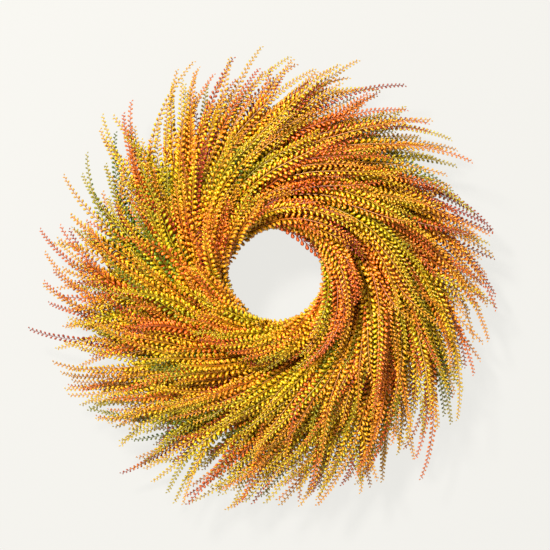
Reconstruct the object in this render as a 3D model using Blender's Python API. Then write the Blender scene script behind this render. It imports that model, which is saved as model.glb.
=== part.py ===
"""Harvest door wreath, hung on a door.

A raised wire wreath frame carries three rows of plastic grass sprays, which one long paddle wire
binds to it.  A bent wire hanging loop goes over the door's hook, and the frame swings from it.

Lengths are in millimetres and angles in degrees until place() turns them into metres.  +Z is up,
the door is behind the wreath on the +Y side, and the wreath faces -Y.  A clock angle runs
clockwise from twelve o'clock, as seen from the front.  A depth is measured forwards from the
door.  The origin is the point of the hanging loop that rests on the hook.
"""

import math

import bmesh
import bpy
from mathutils import Matrix, Vector

MM = 0.001

# Frame: four rings on bent braces.  The outer and inner ring lie at the back, and the two middle
# rings are raised in front of them.
FRAME_DIAMETER = 254.0  # over the outer ring
FRAME_BAND = 44.4  # from the outside of the outer ring to the inside of the inner ring
FRAME_RAISE = 13.0  # from the back rings to the middle rings
RING_WIRE = 2.7
RING_SEGMENTS = 48
BRACE_WIRE = 2.2
BRACE_COUNT = 6
BRACE_FLAT = 2.6  # how far a brace runs straight past a ring before it bends
BRACE_END = 1.2  # how far a brace's cut end passes the middle of a back ring

# Hanging loop: one wire, with an eye at each end that runs round the outer ring.
LOOP_WIRE = 2.2
LOOP_WIDTH = 24.0  # between the middles of the two legs
LOOP_HEIGHT = 36.0  # from the eyes' axis to the point that rests on the hook
EYE_CLEARANCE = 0.7
EYE_TURN = 265.0  # how far the wire curls round the ring
EYE_STEPS = 12
ARCH_STEPS = 10

# Paddle wire: one wire wound round the frame and the sprays' stems.
BINDING_WIRE = 1.0
TURNS_PER_SPRAY = 2
BINDING_FRONT_SHARE = 0.3  # the share of a turn's advance that is made on the front
BINDING_BACK_SHARE = 0.97  # the share that is made when the wire comes round the inner ring
SIDE_BEND = (1.45, 0.75)  # where it bends over an inner or outer stem: outwards and forwards
TOP_BEND = (1.6, 1.1)  # where it bends over a middle stem; all in units of its height over a stem

# Sprays.  Each is one moulding: a stem, and a web that parts into three bunches of fronds.
SPRAYS_PER_ROW = 12
SPRAY_GAP = 3.0  # clock angle between two sprays of a row
BUNCHES = 3
BUNCH_THICKNESS = 5.0
BUNCH_TAPER = 0.6  # a bunch's width and thickness, halfway along its free length
WEB_THICKNESS = 2.2
PARTING = 0.55  # the share of its length where a spray's web ends between two bunches
LENGTH_PATTERN = (1.0, 0.9, 0.97, 0.86, 0.94, 0.88, 0.99)  # repeats round each row
STEM_DIAMETER = 3.8
CROWN_RISE = 4.6  # how far the crown, where a spray begins to fan out, stands before its stem
CROWN_LEAD = 5.0  # clock angle from the last turn of wire over a stem to its crown
STEM_TAIL = 4.0  # clock angle from a stem's cut end to the first turn of wire over it
STEM_STEPS = 3
FAN_SHARE = 0.35  # the share of its length that a spray takes to fan out
FAN_STEPS = 5
FAN_CENTRE = 45.0  # clock angle from a crown to the middle of what its spray covers

# The swirl is tighter on one side of the wreath, and the fronds are longer on another.
SWIRL_CHANGE = 0.2
SWIRL_TIGHTEST_CLOCK = 50.0
REACH_CHANGE = 0.1
REACH_LONGEST_CLOCK = 205.0

DOOR_GAP = 0.4  # between the hanging loop's back and the door
SMALL_STEP = 0.01  # for taking a direction along a sheet
WELD_GAP = 0.3  # stands for the welds, and keeps touching pieces apart

# What follows from the driving dimensions.
EYE_RADIUS = RING_WIRE / 2 + EYE_CLEARANCE + LOOP_WIRE / 2
OUTER_RADIUS = (FRAME_DIAMETER - RING_WIRE) / 2
INNER_RADIUS = OUTER_RADIUS + RING_WIRE - FRAME_BAND
RING_STEP = (OUTER_RADIUS - INNER_RADIUS) / 3
BACK_DEPTH = DOOR_GAP + LOOP_WIRE / 2 + EYE_RADIUS
RAISED_DEPTH = BACK_DEPTH + FRAME_RAISE
RINGS = {
    "ring_inner": (INNER_RADIUS, BACK_DEPTH),
    "ring_middle_inner": (INNER_RADIUS + RING_STEP, RAISED_DEPTH),
    "ring_middle_outer": (INNER_RADIUS + 2 * RING_STEP, RAISED_DEPTH),
    "ring_outer": (OUTER_RADIUS, BACK_DEPTH),
}
BRACE_OFFSET = (RING_WIRE + BRACE_WIRE) / 2 + WELD_GAP
BRACE_LOW = BACK_DEPTH + BRACE_OFFSET
BRACE_HIGH = RAISED_DEPTH - BRACE_OFFSET

DOOR_Y = DOOR_GAP + LOOP_WIRE / 2
PIVOT_Y = DOOR_Y - BACK_DEPTH
PIVOT_Z = -LOOP_HEIGHT
CENTRE_Z = PIVOT_Z - math.sqrt(OUTER_RADIUS**2 - (LOOP_WIDTH / 2) ** 2)

# Stems: the middle row lies on the braces between the raised rings, and the other two rows lie
# on the slopes beside them.
COLUMNS = 2 * BUNCHES
STEM_RADIUS = STEM_DIAMETER / 2
STEM_ROUND = [MM * STEM_DIAMETER * math.sin(math.pi * i / COLUMNS) for i in range(COLUMNS + 1)]
SLOPE = math.atan2(BRACE_HIGH - BRACE_LOW, RING_STEP - 2 * BRACE_FLAT)
STEM_OFFSET = STEM_RADIUS + BRACE_WIRE / 2 + WELD_GAP
SLOPE_STEM_DEPTH = (BRACE_LOW + BRACE_HIGH) / 2 + STEM_OFFSET / math.cos(SLOPE) + WELD_GAP
STEMS = {
    "inner": (INNER_RADIUS + RING_STEP / 2, SLOPE_STEM_DEPTH),
    "middle": (INNER_RADIUS + 1.5 * RING_STEP, BRACE_HIGH + STEM_OFFSET + WELD_GAP),
    "outer": (OUTER_RADIUS - RING_STEP / 2, SLOPE_STEM_DEPTH),
}

# Sheets: the surface that a row's sprays lie on, as (outwards, forwards, swept clock angle) from
# a crown.  Sprays of one row never cross, and the rows' sheets lie one in front of another.
SHEETS = {
    "outer": ((0, 0, 0), (11, 4, 20), (34, 7, 40), (70, 9, 57), (117, 8, 69), (193, 3, 82)),
    "middle": ((0, 0, 0), (3, 13, 20), (12, 28, 40), (32, 39, 60), (70, 45, 80), (142, 43, 98)),
    "inner": ((0, 0, 0), (-11, 18, 20), (-13, 40, 45), (-7, 61, 70), (8, 76, 95), (36, 85, 120)),
}
WIRE_OVER_ROW = {"inner": 0.28, "middle": 0.5, "outer": 0.72}  # shares of the front's advance
ROW_COLOURS = {"inner": ("gold", "orange"), "middle": ("gold", "lime"), "outer": ("orange", "gold")}


def place(radius, clock, depth):
    """A point of the wreath in metres, from its distance to the wreath's axis."""
    turn = math.radians(clock)
    return MM * Vector((radius * math.sin(turn), DOOR_Y - depth, CENTRE_Z + radius * math.cos(turn)))


def clear_scene():
    for old in list(bpy.data.objects):
        bpy.data.objects.remove(old)


def make_material(name, colour, roughness, metallic=0.0):
    material = bpy.data.materials.new(name)
    material.use_nodes = True
    shader = material.node_tree.nodes["Principled BSDF"]
    shader.inputs["Base Color"].default_value = (*colour, 1.0)
    shader.inputs["Roughness"].default_value = roughness
    shader.inputs["Metallic"].default_value = metallic
    return material


def add_object(name, data, material, origin):
    """An object whose data is in world coordinates, moved so that its origin is at origin."""
    data.transform(Matrix.Translation(-origin))
    data.materials.append(material)
    made = bpy.data.objects.new(name, data)
    made.location = origin
    bpy.context.scene.collection.objects.link(made)
    return made


def wire(name, points, diameter, material, origin, resolution=1, cyclic=False):
    """A round wire along the points: resolution 0 has four sides, 1 has six and 2 has eight."""
    curve = bpy.data.curves.new(name, "CURVE")
    curve.dimensions = "3D"
    curve.bevel_depth = diameter / 2 * MM
    curve.bevel_resolution = resolution
    curve.use_fill_caps = True
    spline = curve.splines.new("POLY")
    spline.points.add(len(points) - 1)
    for corner, point in zip(spline.points, points):
        corner.co = (*point, 1.0)
    spline.use_cyclic_u = cyclic
    return add_object(name, curve, material, origin)


def build_rings(material):
    for name, (radius, depth) in RINGS.items():
        step = 360 / RING_SEGMENTS
        points = [place(radius, step * i, depth) for i in range(RING_SEGMENTS)]
        wire(name, points, RING_WIRE, material, place(0, 0, depth), cyclic=True)


def build_braces(material):
    """Each brace lies between two turns of the paddle wire, and joins the rings from within.

    It passes in front of the two back rings and behind the two raised ones.
    """
    inner_low, inner_high, outer_high, outer_low = (radius for radius, _ in RINGS.values())
    profile = (
        (inner_low - BRACE_END, BRACE_LOW),
        (inner_low + BRACE_FLAT, BRACE_LOW),
        (inner_high - BRACE_FLAT, BRACE_HIGH),
        (outer_high + BRACE_FLAT, BRACE_HIGH),
        (outer_low - BRACE_FLAT, BRACE_LOW),
        (outer_low + BRACE_END, BRACE_LOW),
    )
    advance, starts = turn_clocks()
    for i in range(BRACE_COUNT):
        clock = advance * round(len(starts) * (i + 0.5) / BRACE_COUNT)
        points = [place(radius, clock, depth) for radius, depth in profile]
        wire(f"brace_{i + 1}", points, BRACE_WIRE, material, points[0])


def build_hanging_loop(material):
    """The wire curls round the ring behind each leg's foot, runs up the leg and over the arch."""
    half, top = LOOP_WIDTH / 2, LOOP_WIRE / 2
    arch_z = top - half
    right = []
    for i in range(EYE_STEPS + 1):
        turn = math.radians(-EYE_TURN * (1 - i / EYE_STEPS))
        y = PIVOT_Y + EYE_RADIUS * math.cos(turn)
        right.append(Vector((half, y, PIVOT_Z + EYE_RADIUS * math.sin(turn))))
    arch = [
        Vector((half * math.cos(a), 0, arch_z + half * math.sin(a)))
        for a in (math.pi * i / ARCH_STEPS for i in range(ARCH_STEPS + 1))
    ]
    left = [Vector((-p.x, p.y, p.z)) for p in reversed(right)]
    points = [MM * p for p in right + arch + left]
    wire("hanging_loop", points, LOOP_WIRE, material, MM * Vector((0, PIVOT_Y, PIVOT_Z)))


def round_ring(radius, angles):
    """Where the paddle wire bends round a back ring, as (radius, depth)."""
    reach = ((RING_WIRE + BINDING_WIRE) / 2 + WELD_GAP) / math.cos(math.pi / 8)
    turns = [math.radians(angle) for angle in angles]
    return [(radius + reach * math.cos(a), BACK_DEPTH + reach * math.sin(a)) for a in turns]


def binding_profile():
    """(radius, depth, share of the turn's advance) round the frame and the stems."""
    over = STEM_RADIUS + BINDING_WIRE / 2 + WELD_GAP
    inner, middle, outer = (STEMS[row] for row in ("inner", "middle", "outer"))
    front = [
        (inner[0] - over * SIDE_BEND[0], inner[1] + over * SIDE_BEND[1]),
        (middle[0] - over * TOP_BEND[0], middle[1] + over * TOP_BEND[1]),
        (middle[0] + over * TOP_BEND[0], middle[1] + over * TOP_BEND[1]),
        (outer[0] + over * SIDE_BEND[0], outer[1] + over * SIDE_BEND[1]),
    ]
    path = round_ring(INNER_RADIUS, (225, 180)) + front + round_ring(OUTER_RADIUS, (0, -45, -90))
    path += round_ring(INNER_RADIUS, (270,))
    shares = [BINDING_FRONT_SHARE * i / (len(path) - 2) for i in range(len(path) - 1)]
    return [(*spot, share) for spot, share in zip(path, shares + [BINDING_BACK_SHARE])]


def turn_clocks():
    """The advance of one turn of the paddle wire, and the clock angle at which each turn starts.

    Turns pass the outer ring half an advance to either side of the hanging loop.
    """
    advance = 360 / (SPRAYS_PER_ROW * TURNS_PER_SPRAY)
    first = advance * (0.5 - BINDING_FRONT_SHARE)
    return advance, [first + advance * i for i in range(SPRAYS_PER_ROW * TURNS_PER_SPRAY)]


def build_binding_wire(material):
    advance, starts = turn_clocks()
    points = [
        place(radius, start + share * advance, depth)
        for start in starts
        for radius, depth, share in binding_profile()
    ]
    centre = place(0, 0, BACK_DEPTH)
    wire("binding_wire", points, BINDING_WIRE, material, centre, resolution=0)


def smooth(points, t):
    """A Catmull-Rom curve through the points, for t from 0 to 1."""
    spans = len(points) - 1
    i = min(int(t * spans), spans - 1)
    u = t * spans - i
    before = points[i - 1] if i else [2 * a - b for a, b in zip(points[0], points[1])]
    after = points[i + 2] if i + 2 <= spans else [2 * a - b for a, b in zip(points[-1], points[-2])]
    return [
        0.5 * (2 * b + (c - a) * u + (2 * a - 5 * b + 4 * c - d) * u**2 + (3 * b - a - 3 * c + d) * u**3)
        for a, b, c, d in zip(before, points[i], points[i + 1], after)
    ]


def ease(t):
    t = min(max(t, 0.0), 1.0)
    return t * t * (3 - 2 * t)


def mix(a, b, share):
    return [p + (q - p) * share for p, q in zip(a, b)]


def crown_of(row, number):
    """(radius, clock angle, depth) of the place where a spray's fronds begin to fan out."""
    advance, starts = turn_clocks()
    radius, depth = STEMS[row]
    share = BINDING_FRONT_SHARE * WIRE_OVER_ROW[row]
    last_turn = starts[(number * TURNS_PER_SPRAY + 1) % len(starts)]
    return radius, last_turn + share * advance + CROWN_LEAD, depth + CROWN_RISE


def swept(crown, shape, offset, t):
    """The place of (outwards, forwards, swept clock angle) from a crown, t along a frond."""
    radius, clock, depth = crown
    out, forward, sweep = shape
    at = clock + offset + FAN_CENTRE
    swirl = 1 + SWIRL_CHANGE * math.cos(math.radians(at - SWIRL_TIGHTEST_CLOCK))
    reach = 1 + REACH_CHANGE * ease(t) * math.cos(math.radians(at - REACH_LONGEST_CLOCK))
    return place(radius + out * reach, clock + offset + sweep * swirl, depth + forward)


def sheet_point(row, crown, offset, t):
    return swept(crown, smooth(SHEETS[row], t), offset, t)


def sheet_frame(row, crown, t):
    """The directions across a spray and out of its face, t along its middle."""
    here = sheet_point(row, crown, 0, t)
    along = (sheet_point(row, crown, 0, t + SMALL_STEP) - here).normalized()
    normal = along.cross(sheet_point(row, crown, 1.0, t) - here).normalized()
    return normal.cross(along), normal


def section(points, across, normal, width, thicknesses):
    """A closed loop of corners round a spray, up its front face and down its back.

    The points are where its columns run.  Width spreads them by a round stem's width.
    """
    last = len(points) - 1
    front, back = [], []
    for i, (point, thickness) in enumerate(zip(points, thicknesses)):
        middle = point - across * width / 2 * math.cos(math.pi * i / last)
        front.append(middle + normal * thickness / 2)
        back.append(middle - normal * thickness / 2)
    return front[:-1] + back[:0:-1]


def stem_sections(row, crown):
    """The stem follows the frame from its cut end, under its turns of wire."""
    radius, clock, depth = crown
    advance, _ = turn_clocks()
    tail = clock - CROWN_LEAD - advance * (TURNS_PER_SPRAY - 1) - STEM_TAIL
    bend = clock - CROWN_LEAD / 2
    _, crown_normal = sheet_frame(row, crown, 0)
    sections = []
    for i in range(STEM_STEPS + 1):
        at = tail + (bend - tail) * i / STEM_STEPS
        centre = place(radius, at, depth - CROWN_RISE)
        along = (place(radius, at + 1.0, depth - CROWN_RISE) - centre).normalized()
        across = crown_normal.cross(along).normalized()
        points = [centre] * (COLUMNS + 1)
        sections.append(section(points, across, along.cross(across), MM * STEM_DIAMETER, STEM_ROUND))
    return sections


def fan_offset(column, share):
    """A column's clock angle from the middle of its spray, once the fan is share open."""
    half_fan = (360 / SPRAYS_PER_ROW - SPRAY_GAP) / 2
    return share * half_fan * (2 * column / COLUMNS - 1)


def fan_sections(row, crown):
    """Loops of corners from the crown to where the web ends, between the bunches."""
    sections = []
    for step in range(FAN_STEPS + 1):
        t = PARTING * step / FAN_STEPS
        share = ease(t / FAN_SHARE)
        points = [sheet_point(row, crown, fan_offset(i, share), t) for i in range(COLUMNS + 1)]
        open_fan = [MM * (BUNCH_THICKNESS if i % 2 else WEB_THICKNESS) for i in range(COLUMNS + 1)]
        open_fan[0] = open_fan[-1] = 0
        if step == FAN_STEPS:
            open_fan = [thick if i % 2 else 0 for i, thick in enumerate(open_fan)]
        across, normal = sheet_frame(row, crown, t)
        width = MM * STEM_DIAMETER * (1 - share)
        sections.append(section(points, across, normal, width, mix(STEM_ROUND, open_fan, share)))
    return sections


def bunch_sections(row, number, crown, bunch):
    """The four corners round the middle of a bunch's free length, and its tip."""
    column = 2 * bunch + 1
    length = LENGTH_PATTERN[(number * BUNCHES + bunch) % len(LENGTH_PATTERN)]
    t = (PARTING + length) / 2
    left, middle, right, tip = (
        sheet_point(row, crown, fan_offset(column + side, 1), at)
        for side, at in ((-BUNCH_TAPER, t), (0, t), (BUNCH_TAPER, t), (0, length))
    )
    _, normal = sheet_frame(row, crown, t)
    thick = normal * MM * BUNCH_THICKNESS * BUNCH_TAPER / 2
    return [left, middle + thick, right, middle - thick], tip


def join_loops(mesh, lower, upper, front_count):
    """Triangles between two loops, cut along the same diagonals on the front and the back."""
    for a in range(len(lower)):
        b = (a + 1) % len(lower)
        if a < front_count:
            corners = ((lower[a], lower[b], upper[b]), (lower[a], upper[b], upper[a]))
        else:
            corners = ((lower[a], lower[b], upper[a]), (lower[b], upper[b], upper[a]))
        for triangle in corners:
            if len(set(triangle)) == 3:
                mesh.faces.new(triangle)


def spray_mesh(row, number):
    mesh = bmesh.new()
    crown = crown_of(row, number)
    sections = stem_sections(row, crown) + fan_sections(row, crown)
    loops = [[mesh.verts.new(corner) for corner in corners] for corners in sections]
    last = loops[-1]
    for i in range(2, COLUMNS, 2):
        mesh.verts.remove(last[-i])
        last[-i] = last[i]
    mesh.faces.new(loops[0])
    for lower, upper in zip(loops, loops[1:]):
        join_loops(mesh, lower, upper, COLUMNS)
    for bunch in range(BUNCHES):
        root = [last[2 * bunch], last[2 * bunch + 1], last[2 * bunch + 2], last[-2 * bunch - 1]]
        corners, tip = bunch_sections(row, number, crown, bunch)
        middle = [mesh.verts.new(corner) for corner in corners]
        join_loops(mesh, root, middle, 2)
        join_loops(mesh, middle, [mesh.verts.new(tip)] * 4, 2)
    bmesh.ops.recalc_face_normals(mesh, faces=mesh.faces)
    return mesh


def to_data(name, mesh):
    data = bpy.data.meshes.new(name)
    mesh.to_mesh(data)
    mesh.free()
    return data


def build_spray(row, number, material):
    name = f"spray_{row}_{number + 1}"
    add_object(name, to_data(name, spray_mesh(row, number)), material, place(*crown_of(row, number)))


def main():
    clear_scene()
    steel = make_material("green_coated_steel", (0.02, 0.07, 0.03), 0.45)
    zinc = make_material("zinc_wire", (0.42, 0.43, 0.42), 0.35, 1.0)
    paddle = make_material("green_paddle_wire", (0.03, 0.1, 0.04), 0.4)
    plastics = {
        "gold": make_material("golden_plastic", (0.78, 0.42, 0.03), 0.38),
        "orange": make_material("orange_plastic", (0.8, 0.2, 0.03), 0.38),
        "lime": make_material("yellow_green_plastic", (0.5, 0.5, 0.04), 0.38),
    }
    build_rings(steel)
    build_braces(steel)
    build_binding_wire(paddle)
    build_hanging_loop(zinc)
    for row, colours in ROW_COLOURS.items():
        for number in range(SPRAYS_PER_ROW):
            build_spray(row, number, plastics[colours[number % len(colours)]])


main()
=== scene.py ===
"""The looks of the harvest door wreath: every frond and leaflet of its plastic grass sprays.

Lengths are in metres.  A clock angle runs clockwise from twelve o'clock, as seen from the front,
in degrees.  A frond's place is (radius from the wreath's axis, clock angle, depth), and a depth
is measured forwards from the door, which is the plane y = 0 here.
"""

import math
from functools import partial

import bpy
import numpy as np
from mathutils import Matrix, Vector


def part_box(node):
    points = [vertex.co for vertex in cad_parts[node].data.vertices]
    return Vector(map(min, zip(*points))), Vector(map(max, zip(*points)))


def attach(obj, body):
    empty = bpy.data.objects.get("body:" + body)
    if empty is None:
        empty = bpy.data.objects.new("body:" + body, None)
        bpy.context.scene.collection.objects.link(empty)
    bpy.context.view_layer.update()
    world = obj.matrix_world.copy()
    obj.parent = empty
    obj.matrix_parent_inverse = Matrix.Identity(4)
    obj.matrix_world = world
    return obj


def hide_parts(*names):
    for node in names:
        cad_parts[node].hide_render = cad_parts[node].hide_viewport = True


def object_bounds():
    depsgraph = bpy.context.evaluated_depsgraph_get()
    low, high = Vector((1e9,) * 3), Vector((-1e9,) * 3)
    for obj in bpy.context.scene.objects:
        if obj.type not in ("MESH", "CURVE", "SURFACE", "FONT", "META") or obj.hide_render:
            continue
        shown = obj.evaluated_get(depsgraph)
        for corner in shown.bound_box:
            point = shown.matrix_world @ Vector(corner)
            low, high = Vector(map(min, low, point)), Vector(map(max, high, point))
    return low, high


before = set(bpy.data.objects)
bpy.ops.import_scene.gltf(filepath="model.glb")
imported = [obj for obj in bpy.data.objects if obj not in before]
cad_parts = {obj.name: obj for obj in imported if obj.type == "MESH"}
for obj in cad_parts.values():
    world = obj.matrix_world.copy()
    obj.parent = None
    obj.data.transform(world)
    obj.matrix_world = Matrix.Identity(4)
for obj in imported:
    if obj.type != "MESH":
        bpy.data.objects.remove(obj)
CAD_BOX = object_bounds()

# Places that the frame gives.
RING_LOW, RING_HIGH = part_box("ring_outer")
CENTRE_X = (RING_LOW[0] + RING_HIGH[0]) / 2
CENTRE_Z = (RING_LOW[2] + RING_HIGH[2]) / 2
RING_RADII = [
    (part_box(name)[1][0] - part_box(name)[0][0]) / 2
    for name in ("ring_inner", "ring_middle_inner", "ring_middle_outer", "ring_outer")
]
STEM_RADIUS = 0.0019
RING_WIRE_RADIUS = 0.00135
SPRAYS_PER_ROW = 12
PITCH = 360 / SPRAYS_PER_ROW


def stem_place(row, between):
    """A row's stems lie between two rings, and reach back as far as the row's CAD solids do."""
    inner, outer = (RING_RADII[i] - RING_WIRE_RADIUS for i in between)
    back = max(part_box(f"spray_{row}_{n}")[1][1] for n in range(1, SPRAYS_PER_ROW + 1))
    return (inner + outer) / 2, -(back - STEM_RADIUS)


STEMS = {
    "inner": stem_place("inner", (0, 1)),
    "middle": stem_place("middle", (1, 2)),
    "outer": stem_place("outer", (2, 3)),
}
CROWN_CLOCK = {"inner": 24.3, "middle": 25.3, "outer": 26.2}  # of a row's first spray
CROWN_RISE = 0.0046
STEM_LENGTH = 24.0  # clock angle from a stem's cut end to its crown
STEM_STRAIGHT_END = 2.5  # clock angle before the crown where the stem starts to rise to it
STEM_STEPS, STEM_SIDES = 12, 10
STEM_LEVEL = 0.15  # a stem's green, on the scale of colour_of

# Sheets: what the fronds of a row follow, as (outwards, forwards, swept clock angle) from a crown.
SHEETS = {
    "outer": ((0, 0, 0), (11, 4, 20), (34, 8, 40), (70, 12, 57), (117, 12, 69), (193, 6, 82)),
    "middle": ((0, 0, 0), (3, 13, 20), (12, 27, 40), (32, 38, 60), (70, 43, 80), (142, 41, 98)),
    "inner": ((0, 0, 0), (-14, 17, 20), (-16, 37, 45), (-10, 57, 70), (5, 71, 95), (36, 79, 120)),
}
SHEET_POINTS = {row: np.array(points) * (0.001, 0.001, 1.0) for row, points in SHEETS.items()}
FAN_CENTRE = 45.0  # clock angle from a crown to the middle of what its fronds cover
SWIRL_CHANGE, SWIRL_TIGHTEST_CLOCK = 0.2, 50.0
REACH_CHANGE, REACH_LONGEST_CLOCK = 0.1, 195.0
OPENING, OPEN_CLOCK, OPEN_SPREAD = 8.0, 285.0, 45.0  # where the fronds' ends swirl less
DEPTH_LOW, DEPTH_HIGH, DEPTH_EASE = 0.006, 0.108, 0.016  # a frond's midrib stays between these

# Fronds pass this far in front of the hanging loop, so that it stays clear when the wreath swings.
LOOP_ROOM, LOOP_SIDE = 0.027, 0.034
LOOP_BELOW, LOOP_ABOVE, LOOP_EASE = 0.02, 0.03, 0.02
LOOP_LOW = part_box("hanging_loop")[0][2] - LOOP_BELOW
LOOP_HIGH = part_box("hanging_loop")[1][2] + LOOP_ABOVE

# Fronds.
BUNCHES = 3
FRONDS_PER_BUNCH = {"inner": 5, "middle": 9, "outer": 14}
# From here on, a spread is a standard deviation, and a range is drawn from evenly.
BUNCH_LEVEL_SPREAD = 0.3
BUNCH_LIFT_RANGE = (-0.004, 0.006)
BUNCH_LENGTH_RANGE = (0.93, 1.0)
BUNCH_SPREAD = 3.8  # of its fronds' clock angles
SHORT_LENGTH_RANGE = (0.45, 0.72)  # of the bunch's first frond, which is short and lies on top
SHORT_LIFT = 0.005
UNDER_FRONDS = 7  # fronds behind the others of each spray, greener and painted darker: the darkening is painted shade
UNDER_SPREAD = 2.0
UNDER_DEPTH_RANGE = (-0.016, -0.010)
UNDER_LENGTH_RANGE = (0.76, 0.95)
UNDER_LEVEL_RANGE = (0.7, 1.6)
FROND_LENGTH_RANGE = (0.83, 1.01)
FROND_DEPTH_RANGE = (-0.010, 0.011)
SWIRL_SPREAD, BEND_SPREAD, CURL_SPREAD = 0.05, 30.0, 0.03
BAND = {"inner": (-0.011, 0.012), "middle": (-0.014, 0.008), "outer": (-0.008, 0.008)}
AXIS_SHARE = 0.14  # how far along the stem's line the last frond branches off
FAN_SHARE = 0.3  # the share of its length over which a frond reaches its place in the fan
SHEET_END = 1.08  # how far past its end a sheet can be followed
BEND_FROM, CURL_FROM, OPENING_FROM = 0.45, 0.3, 0.4  # shares of a frond where these set in
LEAFLET_PITCH = 0.0078
LEAFLET_LENGTH = 0.0095
LEAFLET_WIDTH = 0.0053
LEAFLET_PUFF = 0.0017
LEAFLET_ANGLE = math.radians(47)
LEAFLET_RISE = math.radians(15)
# A frond widens from its base over SWELL_SHARE of its length, and narrows over its last part.
SWELL_FROM, SWELL_SHARE, SWELL_POWER, BASE_WIDTH = 0.03, 0.12, 0.7, 0.05
TAPER_SHARE, TAPER_POWER, TIP_WIDTH = 0.3, 0.75, 0.3
# A leaflet's outline: places along it, with the half width and the dome's height there.
LEAFLET_OUTLINE = (
    (0.0, 0.08, 0.10),
    (0.26, 0.15, 0.25),
    (0.50, 0.42, 0.80),
    (0.76, 0.50, 1.0),
    (0.94, 0.30, 0.62),
)
LEAFLET_TIP = 1.02
LEAFLET_ANGLE_RANGE, LEAFLET_SIZE_RANGE = (0.92, 1.08), (0.94, 1.06)
LEAFLET_RISE_SPREAD, LEAFLET_TWIST, LEAFLET_TWIST_SPREAD = 0.08, 0.1, 0.1
LEAFLET_LEVEL_SPREAD, LEAFLET_SHADE_RANGE = 0.09, (0.82, 1.12)
PITCH_RANGE = (0.9, 1.15)  # of a frond's pitch, as a share of LEAFLET_PITCH
TIP_PITCH = 0.45  # the pitch where a frond has no width, as a share of its full pitch
LEAFLET_STAGGER = 0.2  # how far a pair's leaflets are from their middle, as a share of the pitch
RACHIS_RADIUS = 0.0009
RACHIS_SIDES = 5
RACHIS_LEVEL, RACHIS_PAINTED_SHADE = 0.3, 0.4  # how much redder it is than the leaflets, and how dark: the darkening is painted shade between the rows of leaflets
TIP_SHADE = 0.06  # how much darker a frond is at its tip
CELL_MARGIN = 0.06  # round what lies in a cell of the map
HALF_CELL = 0.46
SAMPLES = 60  # points at which a frond is measured before its leaflets are placed
SEED = 7

# Fronds that stand out from the wreath's outline: the tip's clock angle and radius in
# millimetres, and its colour from 0, green, to 3, red-brown. The tip is brought there in rounds.
AIMING_ROUNDS = 8
STRAYS = (
    (356, 300, 0.7), (349, 291, 2.4), (334, 299, 1.0), (326, 282, 2.3), (308, 338, 0.9),
    (295, 306, 1.2), (281, 318, 2.3), (268, 308, 1.0), (258, 336, 2.8), (249, 313, 1.2),
    (234, 296, 1.0), (218, 332, 2.9), (206, 325, 1.1), (191, 313, 2.2), (171, 303, 2.4),
    (160, 307, 1.1), (145, 328, 2.0), (135, 320, 0.3), (113, 262, 2.2), (99, 291, 2.3),
    (79, 291, 2.8), (55, 289, 1.2), (34, 299, 2.9), (16, 285, 1.2),
)  # fmt: skip

# Fronds by the hole: a colour, then places along the frond as (clock angle, radius, depth), with
# the lengths in millimetres.
RIM_STRAYS = (
    (2.5, (330, 92, 62), (350, 74, 66), (12, 61, 66), (34, 56, 62), (56, 58, 56), (76, 66, 50)),
    (2.2, (338, 98, 58), (355, 80, 64), (14, 68, 64), (30, 63, 60), (45, 63, 56)),
    (0.9, (270, 88, 50), (252, 78, 54), (235, 72, 56), (219, 70, 54), (204, 74, 50)),
)


def smooth(points, t):
    """A Catmull-Rom curve through the points; t is an array from 0 to 1."""
    points = np.vstack([2 * points[0] - points[1], points, 2 * points[-1] - points[-2]])
    spans = len(points) - 3
    i = np.clip((t * spans).astype(int), 0, spans - 1)
    u = (t * spans - i)[:, None]
    a, b, c, d = (points[i + k] for k in range(4))
    square, cube = 2 * a - 5 * b + 4 * c - d, 3 * b - a - 3 * c + d
    return 0.5 * (2 * b + (c - a) * u + square * u**2 + cube * u**3)


def ease(t):
    """0 before 0 and 1 after 1, with a smooth rise between."""
    t = np.clip(t, 0.0, 1.0)
    return t * t * (3 - 2 * t)


def place(radius, clock, depth):
    """A point of the frame, or an array of them, from its place in the wreath."""
    turn = np.radians(clock)
    right, up = radius * np.sin(turn), radius * np.cos(turn)
    return np.stack([CENTRE_X + right, -depth, CENTRE_Z + up], axis=-1)


def unit(vectors):
    return vectors / np.linalg.norm(vectors, axis=-1, keepdims=True)


def turned(a, b, angle):
    """Two directions at right angles, turned towards each other's place by an angle."""
    return a * np.cos(angle) + b * np.sin(angle), b * np.cos(angle) - a * np.sin(angle)


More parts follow.
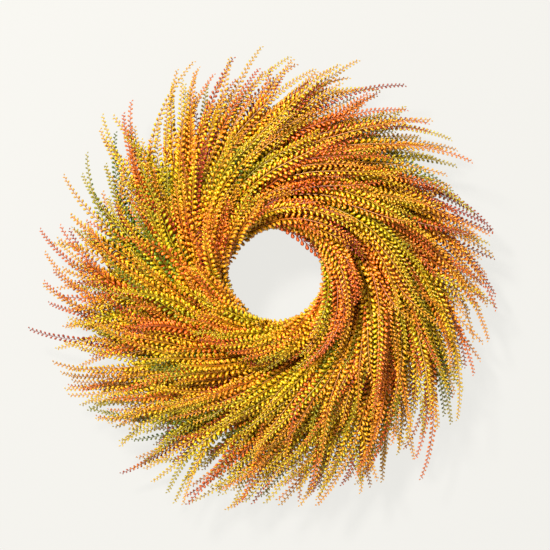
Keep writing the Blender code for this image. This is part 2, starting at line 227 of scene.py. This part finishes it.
class Soup:
    """Collects vertices, faces, colours and map places for one mesh.

    The map is a square of cells, with one leaflet or midrib in each.
    """

    def __init__(self):
        self.verts, self.faces, self.colours, self.spots, self.cells = [], [], [], [], []
        self.count = self.used = 0

    def add(self, verts, faces, colours, spots, copies=1):
        """Copies of one set of faces; spots are its corners' places in a cell."""
        per_copy = len(verts) // copies
        first = (np.arange(copies) * per_copy)[:, None, None]
        self.faces.append((faces + first).reshape(-1, 3) + self.count)
        self.verts.append(verts)
        self.colours.append(np.broadcast_to(colours, (len(verts), 3)))
        self.spots.append(np.tile(spots, (copies, 1, 1)))
        self.cells.append(self.used + np.repeat(np.arange(copies), len(faces)))
        self.count += len(verts)
        self.used += copies

    def build(self, name, material):
        verts, faces = np.vstack(self.verts), np.vstack(self.faces)
        mesh = bpy.data.meshes.new(name)
        mesh.vertices.add(len(verts))
        mesh.vertices.foreach_set("co", verts.ravel())
        mesh.loops.add(faces.size)
        mesh.loops.foreach_set("vertex_index", faces.ravel().astype(np.int32))
        mesh.polygons.add(len(faces))
        mesh.polygons.foreach_set("loop_start", np.arange(0, faces.size, 3, dtype=np.int32))
        mesh.polygons.foreach_set("use_smooth", np.ones(len(faces), dtype=bool))
        mesh.update(calc_edges=True)
        # The vertex colours hold the fronds' own colours together with their painted shade.
        tint_and_painted_shade = mesh.color_attributes.new("tint_and_painted_shade", "FLOAT_COLOR", "POINT")
        colours = np.hstack([np.vstack(self.colours), np.ones((len(verts), 1))])
        tint_and_painted_shade.data.foreach_set("color", colours.ravel())
        across = math.ceil(math.sqrt(self.used))
        cells = np.concatenate(self.cells)
        corner = np.stack([cells % across, cells // across], axis=-1)[:, None]
        places = (corner + CELL_MARGIN + (1 - 2 * CELL_MARGIN) * np.vstack(self.spots)) / across
        mesh.uv_layers.new(name="OFBake").data.foreach_set("uv", places.ravel())
        mesh.materials.append(material)
        made = bpy.data.objects.new(name, mesh)
        bpy.context.scene.collection.objects.link(made)
        return made


def leaflet_template():
    """A domed, spoon-shaped leaflet, one unit long and wide.

    Returns its corners, its triangles, and where their corners lie in a cell of the map: the
    upper face in one half of the cell and the underside in the other.
    """
    verts = []
    for u, half, rise in LEAFLET_OUTLINE:
        verts += [(u, half, 0), (u, -half, 0), (u, 0, rise)]
    tip = len(verts)
    verts.append((LEAFLET_TIP, 0, 0))
    sides = ((1, 2), (2, 0), (0, 1))  # two slopes of the upper face, and the underside
    faces, halves = [(0, 1, 2)], [1]
    for low in range(0, tip - 3, 3):
        high = low + 3
        for k, (a, b) in enumerate(sides):
            faces += [(low + a, high + a, high + b), (low + a, high + b, low + b)]
            halves += [k < 2] * 2
    for k, (a, b) in enumerate(sides):
        faces.append((tip - 3 + a, tip, tip - 3 + b))
        halves.append(k < 2)
    verts, faces = np.array(verts), np.array(faces)
    spots = np.stack([verts[:, 0] / LEAFLET_TIP, (verts[:, 1] + 0.5) * HALF_CELL], axis=-1)[faces]
    spots[:, :, 1] += (1 - HALF_CELL) * np.array(halves)[:, None]
    spots[0, 2, 0] = -0.03  # else the closed base has no area on the map
    return verts, faces, spots


LEAFLET_VERTS, LEAFLET_FACES, LEAFLET_SPOTS = leaflet_template()
# A leaflet is painted darker towards its stalk, and along its edges and on its underside: painted
# shade, where the leaflets and fronds shade each other.
STALK_PAINTED_SHADE, EDGE_PAINTED_SHADE = 0.3, 0.6
LEAFLET_PAINTED_SHADE = 1 - (1 - STALK_PAINTED_SHADE) * np.clip(1 - LEAFLET_VERTS[:, 0], 0, 1) ** 1.3
LEAFLET_PAINTED_SHADE *= np.where(LEAFLET_VERTS[:, 2] > 0, 1.0, EDGE_PAINTED_SHADE)


def tube(points, radii, sides):
    """A closed tube, pinched at its ends: its corners, its triangles and their places in a cell."""
    along = unit(np.gradient(points, axis=0))
    side = unit(np.cross(along, (0.0, 1.0, 0.0)))
    up = np.cross(side, along)
    turn = np.arange(sides) * math.tau / sides
    ring = side[:, None] * np.cos(turn)[:, None] + up[:, None] * np.sin(turn)[:, None]
    verts = (points[:, None] + ring * radii[:, None, None]).reshape(-1, 3)
    verts = np.vstack([verts, points[0], points[-1]])
    first, last = len(verts) - 2, len(verts) - 1
    end = (len(points) - 1) * sides
    faces, spots = [], []
    for a in range(sides):
        b = (a + 1) % sides
        low, high = a / sides, (a + 1) / sides
        for i in range(0, end, sides):
            u, v = 0.04 + 0.92 * i / end, 0.04 + 0.92 * (i + sides) / end
            faces += [(i + a, i + b, i + sides + b), (i + a, i + sides + b, i + sides + a)]
            spots += [((u, low), (u, high), (v, high)), ((u, low), (v, high), (v, low))]
        faces += [(first, b, a), (last, end + a, end + b)]
        spots += [((0, low), (0.04, high), (0.04, low)), ((1, low), (0.96, low), (0.96, high))]
    return verts, np.array(faces), np.array(spots)


# Colours run from 0, the green of a frond's base, through yellow and orange to 3, red-brown.
COLOUR_STOPS = np.array([
    (0.13, 0.19, 0.004),
    (0.84, 0.58, 0.006),
    (0.98, 0.46, 0.005),
    (0.96, 0.18, 0.010),
    (0.40, 0.035, 0.004),
])
COLOUR_AT = (0.0, 0.7, 1.2, 2.2, 3.2)
GREEN_SHARE = 0.35  # the share of a frond, from its base, that can be greener
PATCH_SHARE = 0.7  # of what the patches do to a frond's colour

# The kinds of frond: golden, yellow, orange, coral and green, as a level at the base and how
# often it comes.
FROND_LEVELS = (0.93, 0.78, 1.7, 2.4, 0.34)
FROND_CHANCES = (0.48, 0.17, 0.19, 0.03, 0.13)
FROND_LEVEL_SPREAD = 0.13
FROND_GREEN_RANGE = (0.1, 0.7)
FROND_ROLL_SPREAD = 0.25
# How much redder a frond gets towards its tip, and how often.
TIP_LEVELS, TIP_CHANCES = (0.0, 0.3, 1.2), (0.6, 0.25, 0.15)
# The colours of the fronds at a spray's back, of the strays and of those by the hole. The key dark
# makes a frond darker; for the fronds at a spray's back it is painted shade.
UNDER_TONE = {"tip": 0.3, "green": 0.8, "dark": 0.25, "roll": 0.0}
STRAY_TONE = {"tip": 0.5, "green": 0.3, "dark": 0.1, "roll": 0.2}
RIM_TONE = {"tip": 0.3, "green": 0.0, "dark": 0.0, "roll": 0.3}
STRAY_LEVEL_SHIFT = -0.4

# Where the wreath is more orange (above 0) or greener (below 0): clock angle, radius, how far
# the patch spreads, and how strong it is.
PATCHES = (
    (348, 0.245, 0.045, 0.9),
    (325, 0.200, 0.035, 0.8),
    (300, 0.130, 0.045, 0.9),
    (260, 0.280, 0.050, 0.7),
    (245, 0.220, 0.050, 0.6),
    (210, 0.140, 0.040, 0.9),
    (20, 0.095, 0.035, 1.0),
    (70, 0.120, 0.035, 0.8),
    (95, 0.110, 0.040, 0.8),
    (110, 0.140, 0.040, 0.7),
    (155, 0.095, 0.035, 0.9),
    (25, 0.195, 0.040, 0.7),
    (35, 0.245, 0.035, 0.7),
    (70, 0.235, 0.045, 0.6),
    (115, 0.225, 0.045, 0.7),
    (135, 0.200, 0.040, 0.7),
    (278, 0.170, 0.040, -0.8),
    (307, 0.170, 0.035, -0.7),
    (325, 0.150, 0.030, -0.6),
    (345, 0.150, 0.030, -0.6),
    (30, 0.215, 0.035, -0.6),
    (256, 0.225, 0.030, -0.8),
    (232, 0.185, 0.035, -0.8),
    (185, 0.095, 0.030, -0.7),
    (110, 0.165, 0.035, -0.8),
    (62, 0.185, 0.045, -0.5),
    (120, 0.240, 0.050, -0.4),
)


def patch_warmth(points):
    """How much more orange the patches make a place, for an array of places."""
    warmth = np.zeros(len(points))
    for clock, radius, spread, strength in PATCHES:
        centre = place(radius, clock, 0.0)
        gap = np.hypot(points[:, 0] - centre[0], points[:, 2] - centre[2])
        warmth += strength * np.exp(-((gap / spread) ** 2))
    return warmth


def colour_of(level):
    """The colour of an array of levels from 0, green, to 3, red-brown."""
    return np.stack([np.interp(level, COLOUR_AT, COLOUR_STOPS[:, k]) for k in range(3)], axis=-1)


def bump_at(clock, centre, spread):
    """1 at the centre, falling to 0 over the spread, for clock angles."""
    gap = (clock - centre + 180) % 360 - 180
    return np.exp(-((gap / spread) ** 2))


def within_depth(depth):
    """Depths, eased where they come near the back or the front of the wreath."""
    high = DEPTH_HIGH - DEPTH_EASE
    depth = np.where(depth > high, high + DEPTH_EASE * np.tanh((depth - high) / DEPTH_EASE), depth)
    return np.maximum(depth, DEPTH_LOW)


def clear_of_loop(points):
    """The points, moved forwards where the wreath swings back towards the hanging loop."""
    beside = np.exp(-((points[:, 0] / LOOP_SIDE) ** 2))
    above = ease((points[:, 2] - LOOP_LOW) / LOOP_EASE)
    below = ease((LOOP_HIGH - points[:, 2]) / LOOP_EASE)
    near = beside * above * below
    points[:, 1] = np.minimum(points[:, 1], -LOOP_ROOM * near)
    return points


def frond_path(row, crown, offset, begin, length, wander, share):
    """The points at shares of a frond's length from where it branches off."""
    radius, clock, depth = crown
    t = begin + (length - begin) * share
    joined = ease((t - begin) / FAN_SHARE)
    shape = smooth(SHEET_POINTS[row], np.clip(t, 0, SHEET_END))
    at = clock + offset + FAN_CENTRE
    swirl = 1 + SWIRL_CHANGE * math.cos(math.radians(at - SWIRL_TIGHTEST_CLOCK)) + wander["swirl"]
    reach = 1 + REACH_CHANGE * ease(t) * math.cos(math.radians(at - REACH_LONGEST_CLOCK))
    out = radius + shape[:, 0] * reach * wander["reach"] + wander["out"] * joined
    angle = clock + offset * joined + shape[:, 2] * swirl
    angle = angle + wander["bend"] * np.maximum(share - BEND_FROM, 0) ** 2
    opened = ease((t - OPENING_FROM) / (1 - OPENING_FROM))
    angle = angle - OPENING * opened * bump_at(angle, OPEN_CLOCK, OPEN_SPREAD)
    lift = wander["depth"] * joined + wander["curl"] * np.maximum(share - CURL_FROM, 0) ** 2
    return clear_of_loop(place(out, angle, within_depth(depth + shape[:, 1] + lift)))


def frond_width(share):
    """A frond's width along its length, as a share of its full width."""
    swell = np.clip((share - SWELL_FROM) / SWELL_SHARE, BASE_WIDTH, 1.0) ** SWELL_POWER
    taper = np.clip((1.0 - share) / TAPER_SHARE, 0.0, 1.0) ** TAPER_POWER
    return swell * (TIP_WIDTH + (1 - TIP_WIDTH) * taper)


def pair_shares(path, pitch):
    """Where along a frond its pairs of leaflets sit: closer together where they are smaller."""
    share = np.linspace(0.0, 1.0, len(path))
    steps = np.linalg.norm(np.diff(path, axis=0), axis=1)
    width = frond_width(share)
    mean_width = (width[1:] + width[:-1]) / 2
    pairs = steps / (pitch * (TIP_PITCH + (1 - TIP_PITCH) * mean_width))
    passed = np.concatenate([[0.0], np.cumsum(pairs)])
    return np.interp(np.arange(1, int(passed[-1]) + 1), passed, share)


def add_leaflets(soup, points, share, level, dark, roll, rng):
    """Pairs of leaflets at the points."""
    along = unit(np.gradient(points, axis=0))
    side = unit(np.cross(along, (0.0, -1.0, 0.0)))
    face = np.cross(side, along)
    side, face = turned(side, face, roll)
    width = frond_width(share)
    count = len(points)
    local = LEAFLET_VERTS * (LEAFLET_LENGTH, LEAFLET_WIDTH, LEAFLET_PUFF)
    for sign in (1, -1):
        angle = LEAFLET_ANGLE * rng.uniform(*LEAFLET_ANGLE_RANGE, count)
        rise = LEAFLET_RISE + rng.normal(0, LEAFLET_RISE_SPREAD, count)
        spread = sign * side * np.cos(rise)[:, None] + face * np.sin(rise)[:, None]
        u = along * np.cos(angle)[:, None] + spread * np.sin(angle)[:, None]
        w = unit(face - u * np.sum(face * u, axis=1, keepdims=True))
        twist = sign * rng.normal(LEAFLET_TWIST, LEAFLET_TWIST_SPREAD, count)[:, None]
        v, w = turned(np.cross(w, u), w, twist)
        size = (width * rng.uniform(*LEAFLET_SIZE_RANGE, count))[:, None, None]
        base = points + along * (LEAFLET_STAGGER * sign * LEAFLET_PITCH)
        x, y, z = (local[:, k, None] for k in range(3))
        verts = base[:, None] + size * (x * u[:, None] + y * v[:, None] + z * w[:, None])
        own_level = level + rng.normal(0, LEAFLET_LEVEL_SPREAD, count)
        # dark is painted shade for the fronds at a spray's back; the darker tip and the random
        # range are the plastic's own tone.
        shade = (1 - dark) * (1 - TIP_SHADE * share**2) * rng.uniform(*LEAFLET_SHADE_RANGE, count)
        # Each leaflet's darkening at its stalk, edges and underside is painted shade.
        colours = colour_of(own_level)[:, None] * shade[:, None, None] * LEAFLET_PAINTED_SHADE[:, None]
        soup.add(verts.reshape(-1, 3), LEAFLET_FACES, colours.reshape(-1, 3), LEAFLET_SPOTS, count)


def add_midrib(soup, points, share, level, dark):
    """A midrib that narrows to its tip, redder than its leaflets and painted darker, as painted
    shade between their rows.
    """
    radii = RACHIS_RADIUS * (0.5 + 0.5 * (1 - share))
    verts, faces, spots = tube(points, radii, RACHIS_SIDES)
    ring_colours = colour_of(level + RACHIS_LEVEL) * RACHIS_PAINTED_SHADE * (1 - dark)
    shades = np.repeat(ring_colours, RACHIS_SIDES, axis=0)
    soup.add(verts, faces, np.vstack([shades, shades[:1], shades[-1:]]), spots)


def add_frond(soup, path, tone, rng):
    """A frond along path, a function from shares of its length to points."""
    sampled = path(np.linspace(0.0, 1.0, SAMPLES))
    share = pair_shares(sampled, LEAFLET_PITCH * rng.uniform(*PITCH_RANGE))
    points = path(share)
    level = tone["base"] + tone["tip"] * share**1.5
    level = level - tone["green"] * np.clip(1 - share / GREEN_SHARE, 0, 1)
    level = level + PATCH_SHARE * patch_warmth(points)
    add_leaflets(soup, points, share, level, tone["dark"], tone["roll"], rng)
    share = np.concatenate([[0.0], share])
    add_midrib(soup, path(share), share, np.concatenate([level[:1], level]), tone["dark"])


def add_stem(soup, row, crown, low):
    """The spray's stem, which lies at depth low and rises to the crown at its end."""
    radius, clock, _ = crown
    run = np.linspace(clock - STEM_LENGTH, clock - STEM_STRAIGHT_END, STEM_STEPS)
    lying = place(np.full(STEM_STEPS, radius), run, np.full(STEM_STEPS, low))
    stem = np.vstack([lying, place(*(np.array([c]) for c in crown))])
    verts, faces, spots = tube(stem, np.full(len(stem), STEM_RADIUS), STEM_SIDES)
    soup.add(verts, faces, colour_of(np.array([STEM_LEVEL])), spots)


def random_wander(row, rng):
    """How a frond strays from its sheet."""
    return {
        "swirl": rng.normal(0, SWIRL_SPREAD),
        "reach": 1.0,
        "out": rng.uniform(*BAND[row]),
        "bend": rng.normal(0, BEND_SPREAD),
        "depth": rng.uniform(*FROND_DEPTH_RANGE),
        "curl": rng.normal(0.0, CURL_SPREAD),
    }


def random_tone(rng, shift):
    """A frond's colours: most are golden, and some are yellow, orange or green all along."""
    kind = rng.choice(len(FROND_LEVELS), p=FROND_CHANCES)
    return {
        "base": FROND_LEVELS[kind] + shift + rng.normal(0, FROND_LEVEL_SPREAD),
        "tip": rng.choice(TIP_LEVELS, p=TIP_CHANCES),
        "green": rng.uniform(*FROND_GREEN_RANGE),
        "dark": 0.0,
        "roll": rng.normal(0, FROND_ROLL_SPREAD),
    }


def add_bunch(soup, row, crown, bunch, rng):
    """Fronds that lie close together and have much the same colour."""
    middle = PITCH * ((bunch + 0.5) / BUNCHES - 0.5)
    shift = rng.normal(0, BUNCH_LEVEL_SPREAD)
    lift = rng.uniform(*BUNCH_LIFT_RANGE)
    full = rng.uniform(*BUNCH_LENGTH_RANGE)
    for i in range(FRONDS_PER_BUNCH[row]):
        wander = random_wander(row, rng)
        wander["depth"] += lift
        length = full * rng.uniform(*FROND_LENGTH_RANGE)
        if i == 0:
            length = rng.uniform(*SHORT_LENGTH_RANGE)
            wander["depth"] += SHORT_LIFT
        offset = middle + rng.normal(0, BUNCH_SPREAD)
        begin = AXIS_SHARE * rng.uniform()
        path = partial(frond_path, row, crown, offset, begin, length, wander)
        add_frond(soup, path, random_tone(rng, shift), rng)


def add_under_fronds(soup, row, crown, rng):
    """The fronds at a spray's back, greener than the others and painted darker as painted shade."""
    for i in range(UNDER_FRONDS):
        wander = random_wander(row, rng)
        wander["depth"] = rng.uniform(*UNDER_DEPTH_RANGE)
        tone = {"base": rng.uniform(*UNDER_LEVEL_RANGE), **UNDER_TONE}
        offset = PITCH * ((i + 0.5) / UNDER_FRONDS - 0.5) + rng.normal(0, UNDER_SPREAD)
        length = rng.uniform(*UNDER_LENGTH_RANGE)
        path = partial(frond_path, row, crown, offset, 0.0, length, wander)
        add_frond(soup, path, tone, rng)


def add_strays(soup, row, crown, rng):
    """The fronds of this spray whose tips are where STRAYS says."""
    for clock, radius, level in STRAYS:
        offset, wander = 0.0, random_wander(row, rng)
        for _ in range(AIMING_ROUNDS):
            path = partial(frond_path, row, crown, offset, 0.0, 1.0, wander)
            tip = path(np.array([1.0]))[0]
            right, up = tip[0] - CENTRE_X, tip[2] - CENTRE_Z
            offset += (clock - math.degrees(math.atan2(right, up)) + 180) % 360 - 180
            wander["reach"] *= radius / 1000 / math.hypot(right, up)
        if abs(offset) < PITCH / 2:
            add_frond(soup, path, {"base": level + STRAY_LEVEL_SHIFT, **STRAY_TONE}, rng)


def rim_path(spots, share):
    """The points at shares of the length of a frond that passes through the spots."""
    clock, radius, depth = smooth(spots, share).T
    return place(radius / 1000, clock, depth / 1000)


def add_rim_strays(soup, rng):
    """The fronds that lie by the rim of the wreath's hole, or cross it."""
    for level, *spots in RIM_STRAYS:
        spots = np.array(spots, dtype=float)
        spots[:, 0] = np.degrees(np.unwrap(np.radians(spots[:, 0])))
        add_frond(soup, partial(rim_path, spots), {"base": level, **RIM_TONE}, rng)


def build_spray(row, number, material):
    rng = np.random.default_rng(SEED + 100 * list(STEMS).index(row) + number)
    radius, low = STEMS[row]
    crown = (radius, CROWN_CLOCK[row] + PITCH * number, low + CROWN_RISE)
    soup = Soup()
    add_stem(soup, row, crown, low)
    for bunch in range(BUNCHES):
        add_bunch(soup, row, crown, bunch, rng)
    add_under_fronds(soup, row, crown, rng)
    if row == "outer":
        add_strays(soup, row, crown, rng)
    if row == "inner" and number == 0:
        add_rim_strays(soup, rng)
    spray = soup.build(f"fronds_{row}_{number + 1}", material)
    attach(spray, "wreath")
    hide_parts(f"spray_{row}_{number + 1}")


def node(tree, kind, **inputs):
    """A shader node with some inputs set; an underscore in a name stands for a space."""
    made = tree.nodes.new(kind)
    for name, value in inputs.items():
        made.inputs[name.replace("_", " ")].default_value = value
    return made


def principled(name, roughness, **sockets):
    """A new material with its node tree and shader."""
    material = bpy.data.materials.new(name)
    material.use_nodes = True
    shader = material.node_tree.nodes["Principled BSDF"]
    shader.inputs["Roughness"].default_value = roughness
    for socket, value in sockets.items():
        shader.inputs[socket.replace("_", " ")].default_value = value
    return material, material.node_tree, shader


def frond_plastic(name):
    """Glossy polyethylene, coloured leaflet by leaflet from a vertex colour that also holds painted
    shade, with a faintly uneven moulded skin.
    """
    material, tree, shader = principled(name, 0.34, Specular_IOR_Level=0.45)
    link = tree.links.new
    tint_and_painted_shade = tree.nodes.new("ShaderNodeAttribute")
    tint_and_painted_shade.attribute_name = "tint_and_painted_shade"
    place_at = tree.nodes.new("ShaderNodeTexCoord")
    mottle = node(tree, "ShaderNodeTexNoise", Scale=900.0, Detail=2.0)
    link(place_at.outputs["Object"], mottle.inputs["Vector"])
    shade = node(tree, "ShaderNodeMapRange", To_Min=0.82, To_Max=1.16)
    link(mottle.outputs["Fac"], shade.inputs["Value"])
    scaled = tree.nodes.new("ShaderNodeVectorMath")
    scaled.operation = "SCALE"
    link(tint_and_painted_shade.outputs["Color"], scaled.inputs[0])
    link(shade.outputs["Result"], scaled.inputs["Scale"])
    link(scaled.outputs["Vector"], shader.inputs["Base Color"])
    gloss = node(tree, "ShaderNodeMapRange", To_Min=0.26, To_Max=0.44)
    link(mottle.outputs["Fac"], gloss.inputs["Value"])
    link(gloss.outputs["Result"], shader.inputs["Roughness"])
    bump = node(tree, "ShaderNodeBump", Strength=0.25, Distance=0.0004)
    link(mottle.outputs["Fac"], bump.inputs["Height"])
    link(bump.outputs["Normal"], shader.inputs["Normal"])
    return material


def wire_finish(name, colour, dark, roughness, metallic):
    """Wire with a finish that is worn unevenly along its length."""
    material, tree, shader = principled(name, roughness, Metallic=metallic)
    link = tree.links.new
    place_at = tree.nodes.new("ShaderNodeTexCoord")
    wear = node(tree, "ShaderNodeTexNoise", Scale=260.0, Detail=4.0)
    link(place_at.outputs["Object"], wear.inputs["Vector"])
    ramp = tree.nodes.new("ShaderNodeValToRGB")
    ramp.color_ramp.elements[0].position = 0.42
    ramp.color_ramp.elements[1].position = 0.62
    ramp.color_ramp.elements[0].color = (*dark, 1.0)
    ramp.color_ramp.elements[1].color = (*colour, 1.0)
    link(wear.outputs["Fac"], ramp.inputs["Fac"])
    link(ramp.outputs["Color"], shader.inputs["Base Color"])
    rough = node(tree, "ShaderNodeMapRange", To_Min=roughness - 0.08, To_Max=roughness + 0.12)
    link(wear.outputs["Fac"], rough.inputs["Value"])
    link(rough.outputs["Result"], shader.inputs["Roughness"])
    bump = node(tree, "ShaderNodeBump", Strength=0.3, Distance=0.0002)
    link(wear.outputs["Fac"], bump.inputs["Height"])
    link(bump.outputs["Normal"], shader.inputs["Normal"])
    return material


def finish_wires():
    enamel = wire_finish("dark_green_enamel", (0.012, 0.05, 0.02), (0.006, 0.022, 0.010), 0.42, 0.0)
    florist = wire_finish("green_florist_wire", (0.02, 0.10, 0.03), (0.01, 0.05, 0.015), 0.38, 0.0)
    zinc = wire_finish("dull_zinc", (0.45, 0.46, 0.45), (0.30, 0.31, 0.31), 0.38, 1.0)
    for name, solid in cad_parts.items():
        if name.startswith(("ring", "brace")):
            finish = enamel
        elif name == "binding_wire":
            finish = florist
        elif name == "hanging_loop":
            finish = zinc
        else:
            continue
        solid.data.materials.clear()
        solid.data.materials.append(finish)


# The studio.
VIEW_WIDTH = 0.729  # what the camera sees across, at the door
CAMERA_DISTANCE = 2.6
CAMERA_SHIFT_LEFT = 0.0027
WALL_GAP = 0.040
FLOOR_DROP = 0.40
STAGE_SIZE = (4.0, 4.0, 2.5)  # to each side, forwards and up
STAGE_COLOUR = (0.034, 0.033, 0.031)
STAGE_GLOW = 0.79  # a lit backdrop: it softens the wreath's shadow
STAGE_GLOW_COLOUR = (1.0, 0.99, 0.945, 1.0)
WORLD_COLOUR, WORLD_STRENGTH = (1.0, 0.985, 0.96, 1.0), 0.2
# The lights: place from the wreath's centre, across and up, with the depth from the door; then
# the size, the power in watts and the colour.
LIGHTS = {
    "key": ((-0.95, -2.2, 1.15), 0.4, 178.0, (1.0, 0.98, 0.95)),
    "fill": ((0.9, -3.0, 0.2), 1.4, 4.0, (1.0, 0.985, 0.97)),
}
LIGHTS_AIM_DEPTH = 0.05


def stage_material(name, see_through_back):
    """A pale painted surface with a faint unevenness; the wall doesn't hide the wreath's back."""
    material, tree, shader = principled(name, 0.9)
    link = tree.links.new
    place_at = tree.nodes.new("ShaderNodeTexCoord")
    cloud = node(tree, "ShaderNodeTexNoise", Scale=3.0, Detail=3.0)
    link(place_at.outputs["Object"], cloud.inputs["Vector"])
    ramp = tree.nodes.new("ShaderNodeValToRGB")
    ramp.color_ramp.elements[0].color = (*(0.985 * c for c in STAGE_COLOUR), 1.0)
    ramp.color_ramp.elements[1].color = (*STAGE_COLOUR, 1.0)
    link(cloud.outputs["Fac"], ramp.inputs["Fac"])
    link(ramp.outputs["Color"], shader.inputs["Base Color"])
    shader.inputs["Emission Color"].default_value = STAGE_GLOW_COLOUR
    shader.inputs["Emission Strength"].default_value = STAGE_GLOW
    if see_through_back:
        clear = tree.nodes.new("ShaderNodeBsdfTransparent")
        side = tree.nodes.new("ShaderNodeNewGeometry")
        either = tree.nodes.new("ShaderNodeMixShader")
        link(side.outputs["Backfacing"], either.inputs[0])
        link(shader.outputs[0], either.inputs[1])
        link(clear.outputs[0], either.inputs[2])
        link(either.outputs[0], tree.nodes["Material Output"].inputs["Surface"])
    return material


def stage_plane(name, corners, material):
    mesh = bpy.data.meshes.new(name)
    mesh.from_pydata(corners, [], [(0, 1, 2, 3)])
    mesh.materials.append(material)
    made = bpy.data.objects.new(name, mesh)
    bpy.context.scene.collection.objects.link(made)


def build_stage():
    low = CAD_BOX[0][2] - FLOOR_DROP
    wide, deep, high = STAGE_SIZE
    wall = [(x, WALL_GAP, z) for x, z in ((-wide, low), (wide, low), (wide, high), (-wide, high))]
    floor = [(x, y, low) for x, y in ((-wide, -deep), (wide, -deep), (wide, deep), (-wide, deep))]
    stage_plane("wall", wall, stage_material("pale_wall", True))
    stage_plane("floor", floor, stage_material("pale_floor", False))


def area_light(name, spot, size, power, colour):
    data = bpy.data.lights.new(name, "AREA")
    data.shape = "DISK"
    data.size = size
    data.energy = power
    data.color = colour
    light = bpy.data.objects.new(name, data)
    bpy.context.scene.collection.objects.link(light)
    light.location = (CENTRE_X + spot[0], spot[1], CENTRE_Z + spot[2])
    aim = Vector((CENTRE_X, -LIGHTS_AIM_DEPTH, CENTRE_Z)) - light.location
    light.rotation_euler = aim.to_track_quat("-Z", "Y").to_euler()


def build_light_and_camera():
    scene = bpy.context.scene
    scene.view_settings.view_transform = "Standard"
    world = bpy.data.worlds.new("studio")
    world.use_nodes = True
    background = world.node_tree.nodes["Background"]
    background.inputs["Color"].default_value = WORLD_COLOUR
    background.inputs["Strength"].default_value = WORLD_STRENGTH
    scene.world = world
    for name, light in LIGHTS.items():
        area_light(name, *light)
    data = bpy.data.cameras.new("camera")
    data.lens = data.sensor_width * CAMERA_DISTANCE / VIEW_WIDTH
    camera = bpy.data.objects.new("camera", data)
    camera.location = (CENTRE_X - CAMERA_SHIFT_LEFT, -CAMERA_DISTANCE, CENTRE_Z)
    camera.rotation_euler = (math.pi / 2, 0, 0)
    scene.collection.objects.link(camera)
    scene.camera = camera


build_stage()
build_light_and_camera()
finish_wires()
plastic = frond_plastic("frond_plastic")
for row in STEMS:
    for number in range(SPRAYS_PER_ROW):
        build_spray(row, number, plastic)
